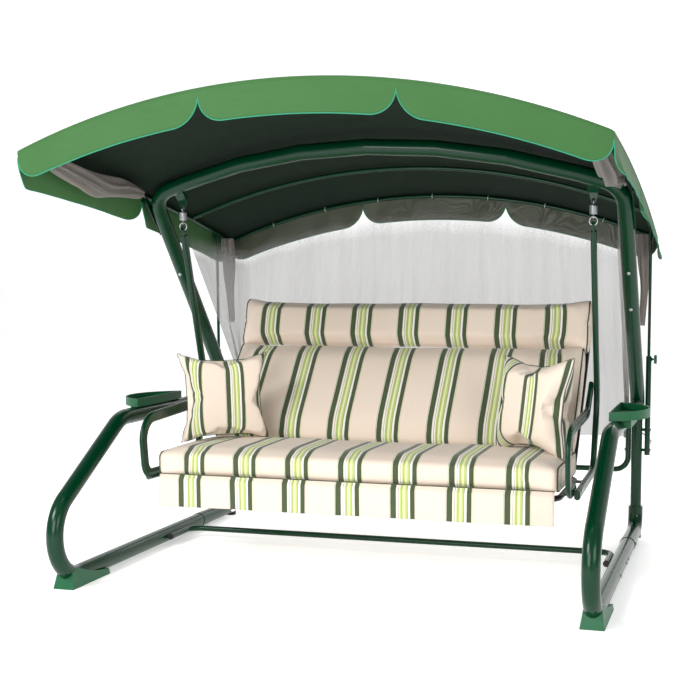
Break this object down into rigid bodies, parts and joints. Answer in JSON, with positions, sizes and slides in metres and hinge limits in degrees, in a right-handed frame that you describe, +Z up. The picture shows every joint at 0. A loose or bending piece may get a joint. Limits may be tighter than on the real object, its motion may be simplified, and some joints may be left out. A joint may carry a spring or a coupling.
{
  "type": "canopy swing bench",
  "caption": "Free-standing garden swing bench: tubular frame, padded seat hung from springs, tilting arched canopy and mosquito net.",
  "frame": {"origin": "on the ground, in the middle of the outline seen from above", "axes": "+X to the right seen from the front, -Y to the front, +Z up"},
  "size_m": [2.3, 1.912, 1.905],
  "materials": {
    "frame_paint": "gloss dark green powder coat",
    "green_plastic": "satin moulded green plastic",
    "black_plastic": "matt black plastic",
    "zinc": "bright zinc plating",
    "black_paint": "satin black paint",
    "strap": "black woven webbing",
    "white_plastic": "white plastic rings",
    "net": "translucent light grey mosquito netting",
    "canopy_fabric": "green coated polyester with teal binding",
    "striped_fabric": "woven cotton with green, cream and lime stripes"
  },
  "bodies": {
    "frame": {"crossbar": "frame_paint", "upright_left": "frame_paint", "upright_right": "frame_paint", "side_loop_left": "frame_paint", "side_loop_right": "frame_paint", "rear_elbow_left": "frame_paint", "rear_elbow_right": "frame_paint", "rear_leg_left": "frame_paint", "rear_leg_right": "frame_paint", "front_foot_left": "green_plastic", "front_foot_right": "green_plastic", "rear_feet": "black_plastic", "side_tray_left": "green_plastic", "side_tray_right": "green_plastic", "joint_sleeves": "zinc", "lower_crossbar": "frame_paint", "rear_crossbar": "frame_paint", "spring_bracket_left": "frame_paint", "spring_bracket_right": "frame_paint", "roof_bracket_left": "frame_paint", "roof_bracket_right": "frame_paint", "strut_guide_left": "frame_paint", "strut_guide_right": "frame_paint", "wire_hooks": "black_paint", "frame_bolts": "zinc", "tube_caps": "black_plastic", "mosquito_net": "net"},
    "roof": {"front_rod": "frame_paint", "rear_rod": "frame_paint", "middle_rib": "frame_paint", "side_rod_left": "frame_paint", "side_rod_right": "frame_paint", "canopy_cover": "canopy_fabric", "valance_front": "canopy_fabric", "valance_rear": "canopy_fabric", "valance_left": "canopy_fabric", "valance_right": "canopy_fabric", "net_rings": "white_plastic"},
    "strut_left": {"strut_left": "frame_paint"},
    "strut_right": {"strut_right": "frame_paint"},
    "knob_left": {"knob_left": "green_plastic"},
    "knob_right": {"knob_right": "green_plastic"},
    "spring_left": {"spring_left": "zinc", "spring_ring_left": "zinc"},
    "spring_right": {"spring_right": "zinc", "spring_ring_right": "zinc"},
    "seat": {"hanger_left": "frame_paint", "hanger_right": "frame_paint", "armrest_left": "frame_paint", "armrest_right": "frame_paint", "seat_frame": "black_paint", "seat_straps": "strap", "back_frame": "black_paint", "seat_bolts": "zinc", "seat_cushion": "striped_fabric", "back_cushion": "striped_fabric", "headrest_cushion": "striped_fabric", "seat_skirt": "striped_fabric", "pillow_left": "striped_fabric", "pillow_right": "striped_fabric"}
  },
  "joints": [
    {"name": "seat_swing", "type": "hinge", "parent": "frame", "child": "spring_left", "pos_m": [-0.907, 0.03, 1.525], "axis": [1, 0, 0], "range_deg": [-15, 15]},
    {"name": "spring_right_swing", "type": "hinge", "parent": "frame", "child": "spring_right", "pos_m": [0.907, 0.03, 1.525], "axis": [1, 0, 0], "range_deg": [-15, 15]},
    {"name": "seat_rock", "type": "hinge", "parent": "spring_left", "child": "seat", "pos_m": [-0.907, 0.03, 1.424], "axis": [1, 0, 0], "range_deg": [-6, 6]},
    {"name": "roof_tilt", "type": "hinge", "parent": "frame", "child": "roof", "pos_m": [0, -0.005, 1.55455], "axis": [1, 0, 0], "range_deg": [-5, 8]},
    {"name": "strut_left_slide", "type": "slide", "parent": "frame", "child": "strut_left", "axis": [0, 0, 1], "range_m": [-0.0697, 0.10991]},
    {"name": "strut_right_slide", "type": "slide", "parent": "frame", "child": "strut_right", "axis": [0, 0, 1], "range_m": [-0.0697, 0.10991]},
    {"name": "knob_left_turn", "type": "hinge", "parent": "frame", "child": "knob_left", "pos_m": [-1.098, 0.763, 0.838], "axis": [1, 0, 0], "range_deg": [0, 180]},
    {"name": "knob_right_turn", "type": "hinge", "parent": "frame", "child": "knob_right", "pos_m": [1.098, 0.763, 0.838], "axis": [1, 0, 0], "range_deg": [0, 180]}
  ],
  "couplings": [
    {"joint": "spring_right_swing", "follows": "seat_swing", "ratio": 1},
    {"joint": "strut_left_slide", "follows": "roof_tilt", "m_per_rad": 0.768},
    {"joint": "strut_right_slide", "follows": "roof_tilt", "m_per_rad": 0.768}
  ]
}
